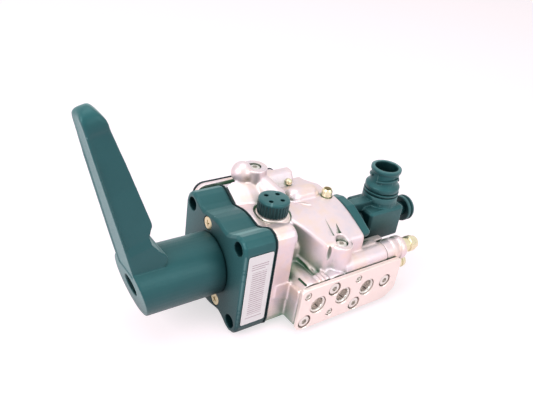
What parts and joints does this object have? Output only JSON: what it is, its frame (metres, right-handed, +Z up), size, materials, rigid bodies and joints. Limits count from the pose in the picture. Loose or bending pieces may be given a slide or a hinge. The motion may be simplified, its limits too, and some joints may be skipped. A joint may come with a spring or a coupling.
{
  "type": "air suspension leveling valve",
  "caption": "Rotary leveling valve for air suspension: hand lever on a shaft, black front housing, cast body with push-in ports, silencer cap and solenoid with a round plug socket.",
  "frame": {"origin": "centre of the bolting face at the front of the black housing, on the lever's axis", "axes": "-X along the shaft towards the lever, +X towards the solenoid, -Y the side of the ports and the label, +Z up towards the lever's tip and the silencer"},
  "size_m": [0.2454, 0.097, 0.1502],
  "materials": {
    "black_nylon": "moulded glass-filled nylon, satin",
    "black_rubber": "matt",
    "cast_aluminium": "die cast and blasted, satin",
    "machined_aluminium": "milled, satin",
    "brass": "yellow zinc plate and turned brass, satin",
    "zinc_plated_steel": "zinc plated",
    "steel": "ground",
    "label_film": "matt printed film, left bare",
    "filter_felt": "sintered felt"
  },
  "bodies": {
    "valve": {"armature_spring": "steel", "armature_stop": "steel", "armature_tube": "steel", "coil_nut": "black_nylon", "connector_contact_1": "brass", "connector_contact_2": "brass", "connector_contact_3": "brass", "connector_contact_4": "brass", "detent_spring": "steel", "far_boss_screw": "zinc_plated_steel", "front_housing": "black_nylon", "housing_gasket": "black_rubber", "housing_screw_lower": "brass", "housing_screw_upper": "brass", "near_boss_screw": "zinc_plated_steel", "pilot_cap": "cast_aluminium", "plate_dowel_1": "zinc_plated_steel", "plate_dowel_2": "zinc_plated_steel", "plate_dowel_3": "zinc_plated_steel", "plate_screw_1": "zinc_plated_steel", "plate_screw_2": "zinc_plated_steel", "plate_screw_3": "zinc_plated_steel", "plate_screw_4": "zinc_plated_steel", "port_plate": "machined_aluminium", "port_seal": "black_rubber", "port_sleeve_1": "zinc_plated_steel", "port_sleeve_2": "zinc_plated_steel", "port_sleeve_3": "zinc_plated_steel", "side_cover": "cast_aluminium", "side_fitting": "brass", "side_label": "label_film", "side_plate": "cast_aluminium", "side_screw_1": "zinc_plated_steel", "side_screw_2": "zinc_plated_steel", "side_screw_3": "zinc_plated_steel", "side_screw_4": "zinc_plated_steel", "side_seal": "black_rubber", "silencer_cap": "black_nylon", "silencer_filter": "filter_felt", "silencer_seat": "zinc_plated_steel", "solenoid_coil": "black_nylon", "test_point": "brass", "top_fitting": "brass", "valve_body": "cast_aluminium", "valve_seat_plate": "steel"},
    "lever_assembly": {"lever": "black_nylon", "lever_screw": "steel", "lever_shaft": "steel", "shaft_oring": "black_rubber", "shaft_clip": "steel", "detent_disc": "steel", "drive_pin": "steel", "rotary_valve_disc": "steel", "disc_spring": "steel"},
    "plunger": {"detent_plunger": "steel"},
    "armature_slug": {"armature": "steel"},
    "collet_1": {"release_collet_1": "zinc_plated_steel"},
    "collet_2": {"release_collet_2": "zinc_plated_steel"},
    "collet_3": {"release_collet_3": "zinc_plated_steel"}
  },
  "joints": [
    {"name": "lever_turn", "type": "hinge", "parent": "valve", "child": "lever_assembly", "pos_m": [0, 0, 0], "axis": [1, 0, 0], "range_deg": [-45, 45]},
    {"name": "plunger_slide", "type": "slide", "parent": "valve", "child": "plunger", "axis": [0, 0, 1], "range_m": [0, 0.0008], "stiffness_N_per_m": 600, "springref_m": -0.003, "deforming": ["detent_spring"]},
    {"name": "armature_slide", "type": "slide", "parent": "valve", "child": "armature_slug", "axis": [1, 0, 0], "range_m": [0, 0.0015], "stiffness_N_per_m": 300, "springref_m": -0.004, "deforming": ["armature_spring"]},
    {"name": "collet_1_press", "type": "slide", "parent": "valve", "child": "collet_1", "axis": [0, 1, 0], "range_m": [0, 0.0008]},
    {"name": "collet_2_press", "type": "slide", "parent": "valve", "child": "collet_2", "axis": [0, 1, 0], "range_m": [0, 0.0008]},
    {"name": "collet_3_press", "type": "slide", "parent": "valve", "child": "collet_3", "axis": [0, 1, 0], "range_m": [0, 0.0008]}
  ]
}
